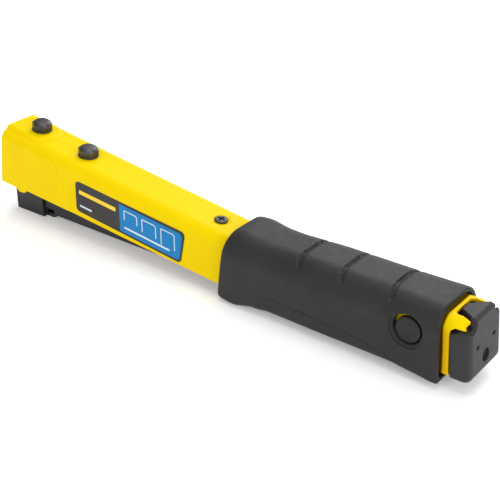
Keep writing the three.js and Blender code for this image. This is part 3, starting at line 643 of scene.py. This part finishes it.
def make_bolt(place, u, seat):
    """A hexagon head whose top is turned to a shallow cone, on its shank, with its washer."""
    sides = 96
    reach = [hex_reach(a) for a in np.linspace(0, 2 * math.pi, sides, endpoint=False)]
    rings = []
    for share in (0.002, 0.2, 0.4, 0.55, 0.66, 0.74, 0.82, 0.9, 0.96, 1.0):
        rings.append([(share * r, crown(share * r)) for r in reach])
    rings.append([(r + 0.12, crown(r) - 0.22) for r in reach])
    for z in (3.6, 2.4, 1.6):
        rings.append([(r + 0.14, min(z, crown(r) - 0.4)) for r in reach])
    rings.append([(r, HEX_BASE) for r in reach])
    for r, z in ((5.0, HEX_BASE - 0.2), (3.1, HEX_BASE - 0.2), (3.1, -12.0), (2.6, -13.0), (0.01, -13.0)):
        rings.append([(r, z)] * sides)
    matrix = HEAD @ Matrix.Translation((0, 0, seat))
    obj = mesh_object(f"bolt_{place}", polar_points(rings, u), tube_faces(len(rings), sides), matrix)
    face_outward(obj)
    finish_piece(obj, "handle", OXIDE, f"hex_bolt_{place}", sharp=28)
    sides = 72
    profile = ((3.4, 0.2), (5.9, 0.2), (6.15, 0.35), (6.15, 0.85), (5.9, 1.05), (3.4, 1.05))
    rings = [[corner] * sides for corner in profile]
    obj = mesh_object(f"washer_{place}", polar_points(rings, u), ring_faces(len(rings), sides), matrix)
    face_outward(obj)
    finish_piece(obj, "handle", OXIDE, f"bolt_washer_{place}")


def make_top_screw():
    """A low round head with a cross recess."""
    sides = 96
    angles = np.linspace(0, 2 * math.pi, sides, endpoint=False)
    arm, reach, depth = CROSS
    rings = []
    for r in (0.01, *np.linspace(0.15, 3.2, 22), 3.55, 3.78, 3.88):
        edge = 0.35 * max(0, (r - 3.2) / 0.68) ** 2.2
        ring = []
        for a in angles:
            x, y = abs(r * math.cos(a)), abs(r * math.sin(a))
            outside = max(min(x, y) - arm, max(x, y) - reach)  # distance from the cross
            recess = depth * (1 - float(smooth(-0.22, 0.1, outside)))
            ring.append((r, SCREW_DOME - 0.012 * r * r - recess - edge))
        rings.append(ring)
    for r, z in ((3.9, 0.3), (3.9, -0.1), (3.8, -0.3), (2.0, -0.4), (2.0, -8.5), (0.01, -8.9)):
        rings.append([(r, z)] * sides)
    slope = math.atan2(BODY_TOP[2] - BODY_TOP[3], BODY_X[3] - BODY_X[2])
    top = float(np.interp(SCREW_X, BODY_X, BODY_TOP))
    matrix = STANCE @ Matrix.Translation((SCREW_X, 0, top)) @ Matrix.Rotation(slope, 4, "Y")
    obj = mesh_object("top_screw_head", polar_points(rings), tube_faces(len(rings), sides), matrix)
    face_outward(obj)
    finish_piece(obj, "handle", OXIDE, "top_screw", sharp=50)


# ---------- pivot ----------
def make_pivot():
    """The pin, with a disc in the grip's hole, and the cap that ends it on the other side."""
    out, r, sides = 18.3, 7.2, 72
    disc = [(0.01, out - 0.3), (5.4, out - 0.25), (5.9, out), (6.7, out - 0.05), (7.05, out - 0.25),
            (r, out - 0.6), (r, 15.9)]
    pin = [*disc, (3.0, 15.85), (3.0, -15.6), (2.6, -16.0), (0.01, -16.0)]
    cap = [*disc, (3.4, 15.9), (3.4, 17.0), (0.01, 17.0)]
    centre = (PIVOT[0] + 0.3, 0, PIVOT[2] - 0.1)
    obj = lathe("pivot_pin_turned", [(radius, -height) for radius, height in pin], sides, "y", centre, STANCE)
    finish_piece(obj, "handle", PIVOT_BLACK, "pivot_pin")
    obj = lathe("pivot_cap_turned", cap, sides, "y", centre, STANCE)
    finish_piece(obj, "handle", PIVOT_BLACK, "pivot_cap")


# ---------- end cap ----------
def cap_side_cutters(way):
    """What is cut from the cap on one side of its middle, way = -1 or 1."""
    x0, head = CAP_X, CAP_HEAD_HALF
    shoulder = [(x0 - 4, 26.4), (x0 - 0.5, 27.8), (x0 + 1.5, 29.0), (156.5, 29.5), (159.3, 29.8), (159.3, 50),
                (x0 - 4, 50)]
    chamfer = [(9.0, 37.5), (9.8, 35.5), (15.0, 34.2), (30, 33.4), (30, 60), (9.0, 60)]
    nestle = [(x0 - 4, 2.2), (x0 + 5, 8.8), (x0 + 5, 9.95), (x0 - 4, 9.95)]  # the head narrows to the front
    slot = [(way * 8.7 + y, z) for y, z in ((-1.35, 19.6), (1.35, 19.6), (1.35, 21.6), (-1.35, 21.6))]
    y, z, r = EAR_NOTCH
    return [
        prism("over", shoulder, "y", *sorted((way * head, way * 30))),
        prism("chamfer", [(way * a, b) for a, b in chamfer], "x", x0 - 10, 175),
        prism("nestle", [(a, way * b) for a, b in nestle], "z", 29.0, 60),
        lathe("notch", [(0.01, 154), (r, 154), (r, 175), (0.01, 175)], 40, "x", (0, way * y, z)),
        prism("slot", rounded_outline(slot, 0.5), "x", 157.5, 175),
    ]


def make_cap():
    """The moulded cap: a box that leans in behind, with a narrower head and a round notch for each ear."""
    x0 = CAP_X
    heel = rounded_outline([(x0 - 6, CAP_LOW), *CAP_REAR], 4.8)[7:14]
    side = [(x0 - 6, CAP_LOW), *heel, CAP_REAR[1], (159.2, CAP_TOP), (x0 - 6, 35.1)]
    block = prism("end_cap_moulded", side, "y", -CAP_HALF, CAP_HALF)
    modifier(block, "BEVEL", width=2.4, segments=6, limit_method="ANGLE", angle_limit=math.radians(60))
    apply_modifiers(block)
    front = [(x0 - 12, 0), (x0 + 0.4, 0), (x0 - 2.9, 37), (x0 - 12, 37)]
    hole = [(0.01, 161.5), (3.3, 161.5), (3.5, 161.7), (3.5, 175), (0.01, 175)]
    cutters = [prism("front", front, "y", -20, 20), *cap_side_cutters(-1), *cap_side_cutters(1)]
    carve(block, [*cutters, lathe("hole", hole, 48, "x", (0, 0, 12.6))])
    spigot = rounded_outline([(-5.9, 4.7), (5.9, 4.7), (5.9, 13.6), (-5.9, 13.6)], 0.8)
    carve(block, [prism("spigot", spigot, "x", 142, x0 + 2)], "UNION")
    bore = [(0.01, 130), (1.6, 130), (1.6, 159.2), (0.01, 159.2)]
    hollow = [(-CAP_HALF + 2, 14.6), (CAP_HALF - 2, 14.6), (CAP_HALF - 2, 24.8), (-CAP_HALF + 2, 24.8)]
    carve(block, [lathe("bore", bore, 32, "x", (0, 0, ROD_Z)), prism("hollow", hollow, "x", x0 - 4, 157.2)])
    # the moulding's soft edges
    modifier(block, "REMESH", mode="VOXEL", voxel_size=CAP_VOXEL, use_smooth_shade=True)
    modifier(block, "SMOOTH", factor=0.5, iterations=5)
    apply_modifiers(block)
    block.data.transform(STANCE)
    finish_piece(block, "pusher", CAP_PLASTIC, "end_cap", sharp=60)


# ---------- label ----------
LABEL = [(-97.2, 18.6), (-16.6, 9.4), (-12.8, 29.5), (-96.6, 38.4)]  # corners, (x, z)
PANEL = [(-62.0, 15.9), (-17.6, 10.9), (-14.6, 28.0), (-62.0, 33.2)]
LABEL_SLOPE = -0.105
LABEL_FACE = 15.82  # the side of the body
STAPLES = ((-58.3, 29.9, 9.7, 6.0), (-44.7, 28.4, 10.2, 8.0), (-30.5, 27.0, 9.8, 10.0))  # x, z, width, leg


def bent_strip(points, width):
    """The outline of a line of that width through the points."""
    points = [Vector(p) for p in points]
    left, right = [], []
    for i, here in enumerate(points):
        before = (here - points[i - 1]).normalized() if i else (points[1] - here).normalized()
        after = (points[i + 1] - here).normalized() if i + 1 < len(points) else before
        across = Vector((-(before + after).y, (before + after).x)).normalized()
        reach = width / 2 / max(0.5, across.dot(Vector((-before.y, before.x))))
        left.append(tuple(here + across * reach))
        right.append(tuple(here - across * reach))
    return left + right[::-1]


def staple_line(x, z, width, leg):
    """The bent line of a staple, with its legs down."""
    right, fall = x + width, LABEL_SLOPE * width
    return [(x, z - leg), (x, z - 0.3), (x + 0.4, z - 0.04), (right - 0.9, z + LABEL_SLOPE * (width - 0.9)),
            (right, z + fall - 0.9), (right, z + fall - leg)]


def make_label(side, place):
    """Printed film: a charcoal field with plain bars, and a blue panel with a row of staple outlines."""
    prints = [
        (rounded_outline(LABEL, 2.8), 0.16, LABEL_DARK),
        (rounded_outline(PANEL, [0.5, 2.0, 2.4, 0.5]), 0.2, LABEL_BLUE),
        *[(bent_strip(staple_line(*staple), 0.6), 0.23, LABEL_PALE) for staple in STAPLES],
        (bent_strip([(-94.0, 31.6), (-65.0, 28.5)], 2.6), 0.2, LABEL_YELLOW),
        (bent_strip([(-94.0, 22.6), (-84.5, 21.6)], 1.2), 0.2, LABEL_PALE),
        (bent_strip([(-58.6, 19.0), (-24.5, 15.1)], 1.2), 0.23, LABEL_PALE),
    ]
    slabs = []
    for i, (outline, height, material) in enumerate(prints):
        faces = sorted((side * (LABEL_FACE - 0.02), side * (LABEL_FACE + height)))
        slab = prism(f"print_{i}", outline, "y", *faces)
        slab.data.materials.append(material)
        slabs.append(slab)
    with bpy.context.temp_override(active_object=slabs[0], selected_editable_objects=slabs):
        bpy.ops.object.join()
    obj = slabs[0]
    obj.name = f"label_{place}"
    obj.data.transform(STANCE)
    finish_piece(obj, "handle", LABEL_DARK, f"side_label_{place}", sharp=30)


# ---------- springs ----------
def swept(name, sections, body, stands_for):
    """A solid of spring steel through a row of closed sections."""
    rows = np.array(sections)
    obj = mesh_object(name, rows.reshape(-1, 3), tube_faces(*rows.shape[:2]), STANCE)
    face_outward(obj)
    finish_piece(obj, body, SPRING, stands_for, sharp=50)
    return obj


def make_pusher_spring():
    """A long coil round the rod, from the follower to its seat before the end cap."""
    (start, end), turns, radius, wire = SPRING_ENDS, 24, 2.3, 0.32
    t = np.linspace(0, 1, turns * 20 + 1)
    angle = t * turns * 2 * math.pi
    along = start + (end - start) * t
    path = np.column_stack([along, radius * np.cos(angle), ROD_Z + radius * np.sin(angle)])
    outward = np.column_stack([np.zeros(len(t)), np.cos(angle), np.sin(angle)])
    tangent = np.gradient(path, axis=0)
    tangent /= np.linalg.norm(tangent, axis=1, keepdims=True)
    other = np.cross(tangent, outward)
    round_wire = np.linspace(0, 2 * math.pi, 8, endpoint=False)
    sections = [
        [here + wire * (math.cos(a) * out + math.sin(a) * across) for a in round_wire]
        for here, out, across in zip(path, outward, other)
    ]
    obj = swept("pusher_spring_wire", sections, "pusher", "pusher_spring")
    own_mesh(obj)


def make_leaf():
    """The return spring: clamped under the top screw, and resting on the magazine's cover at its tip."""
    xs = (8.0, 0.0, -8.0, -18.0, -30.0, -42.0, -52.0, -60.0, -66.0, -70.0, -72.0)
    clamped = np.interp(xs[:3], BODY_X, BODY_TOP) - SHEET - 0.6
    tops = (*clamped, 33.6, 29.6, 25.3, 21.4, 18.9, 17.6, 17.5, 18.1)
    sections = []
    for x, z in zip(xs, tops):
        half, foot = LEAF_HALF - LEAF_TAPER * smooth(-50, -72, x), z - LEAF_THICK
        sections.append([(x, -half, z), (x, half, z), (x, half, foot), (x, -half, foot)])
    obj = swept("return_leaf", sections, "handle", "return_leaf_spring")
    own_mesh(obj)


# ---------- CAD pieces that stay ----------
KEPT = {
    TOOL_STEEL: ["striker_block", "driver_blade", "follower"],
    ZINC: ["blade_screw_left", "blade_screw_right", "top_screw_nut", "pivot_spacer_left",
           "pivot_spacer_right", "staple_rail", "nose_rivet_1", "nose_rivet_2", "nose_rivet_3",
           "nose_rivet_4", "rail_rivet_1", "rail_rivet_2", "rail_rivet_3", "pivot_bush", "spring_seat"],
    BUMPER_RUBBER: ["strike_bumper"],
    BLACK_STEEL: ["magazine_channel", "magazine_cover", "nose_block", "nose_plate"],
    SPRING: ["pusher_rod", "rod_clip"],
}


def refine_kept():
    """Gives each CAD piece that shows its material and small rounded edges."""
    for material, names in KEPT.items():
        for name in names:
            obj = frame["nodes"][name]
            obj.data.materials.clear()
            obj.data.materials.append(material)
            if "custom_normal" in obj.data.attributes:
                obj.data.attributes.remove(obj.data.attributes["custom_normal"])
            obj.data.shade_smooth()
            modifier(obj, "WELD", merge_threshold=2e-6)
            modifier(obj, "DECIMATE", decimate_type="DISSOLVE", angle_limit=math.radians(1))
            modifier(obj, "BEVEL", width=0.18 * MM, segments=2, limit_method="ANGLE",
                     angle_limit=math.radians(35), harden_normals=True)


# ---------- camera and stage ----------
AIM = (20.2, 0.0, 23.15)  # the point the camera looks at, in the working frame
DISTANCE = 603.85
AZIMUTH, ELEVATION, ROLL = (math.radians(v) for v in (36.85, 28.52, 0.18))
LENS, SENSOR = 79.2, 36.0
FLOOR_HALF = 8.0  # m
FLOOR_GLOW = 0.24
WORLD_LIGHT = 0.5
LIGHTS = (  # name, place and target in m, size in m, power in W
    ("behind", (-0.3, 1.2, 0.9), (0, 0, 0), 1.1, 11),
    ("overhead", (0.1, 0.1, 1.4), (0, 0, 0), 1.0, 7),
    ("right", (1.3, -0.3, 0.5), (0, 0, 0.02), 0.7, 7),
    ("front", (-0.3, -1.3, 0.7), (0, 0, 0.02), 0.9, 3),
)


def make_camera():
    camera = bpy.data.cameras.new("camera")
    camera.lens, camera.sensor_width = LENS, SENSOR
    camera.clip_start, camera.clip_end = 0.01, 50
    flat = math.cos(ELEVATION)
    back = Vector((math.sin(AZIMUTH) * flat, -math.cos(AZIMUTH) * flat, math.sin(ELEVATION)))
    level = Vector((math.cos(AZIMUTH), math.sin(AZIMUTH), 0))
    right = level * math.cos(ROLL) + back.cross(level) * math.sin(ROLL)
    turn = Matrix((right, back.cross(right), back)).transposed().to_4x4()
    obj = bpy.data.objects.new("camera", camera)
    obj.matrix_world = Matrix.Translation(STANCE @ (Vector(AIM) + back * DISTANCE)) @ TURN @ turn
    bpy.context.scene.collection.objects.link(obj)
    bpy.context.scene.camera = obj


def make_light(name, place, aim, size, power):
    light = bpy.data.lights.new(name, "AREA")
    light.shape, light.size, light.energy = "SQUARE", size, power
    obj = bpy.data.objects.new(name, light)
    obj.location = place
    obj.rotation_euler = (Vector(aim) - Vector(place)).to_track_quat("-Z", "Y").to_euler()
    bpy.context.scene.collection.objects.link(obj)


def make_stage():
    """A pale floor that glows a little, a white world, and soft lights."""
    corners = [(x * FLOOR_HALF, y * FLOOR_HALF, 0) for x, y in ((-1, -1), (1, -1), (1, 1), (-1, 1))]
    floor = mesh_object("floor", corners, [(0, 1, 2, 3)])
    material = look("pale floor", (246, 246, 246), (250, 250, 250), (0.6, 0.7), mottle=2, grain=60)
    shader = material.node_tree.nodes["Principled BSDF"]
    shader.inputs["Emission Color"].default_value = (1, 1, 1, 1)
    shader.inputs["Emission Strength"].default_value = FLOOR_GLOW
    floor.data.materials.append(material)
    world = bpy.data.worlds.new("studio")
    world.use_nodes = True
    background = world.node_tree.nodes["Background"]
    background.inputs["Color"].default_value = (1, 1, 1, 1)
    background.inputs["Strength"].default_value = WORLD_LIGHT
    bpy.context.scene.world = world
    bpy.context.scene.view_settings.view_transform = "Standard"
    for light in LIGHTS:
        make_light(*light)


make_body()
make_grip()
for where, along_head, rise in zip(("front", "rear"), BOLT_U, BOLT_SEAT):
    make_bolt(where, along_head, rise)
make_top_screw()
make_pivot()
make_cap()
make_label(-1, "left")
make_label(1, "right")
make_pusher_spring()
make_leaf()
refine_kept()
make_camera()
make_stage()
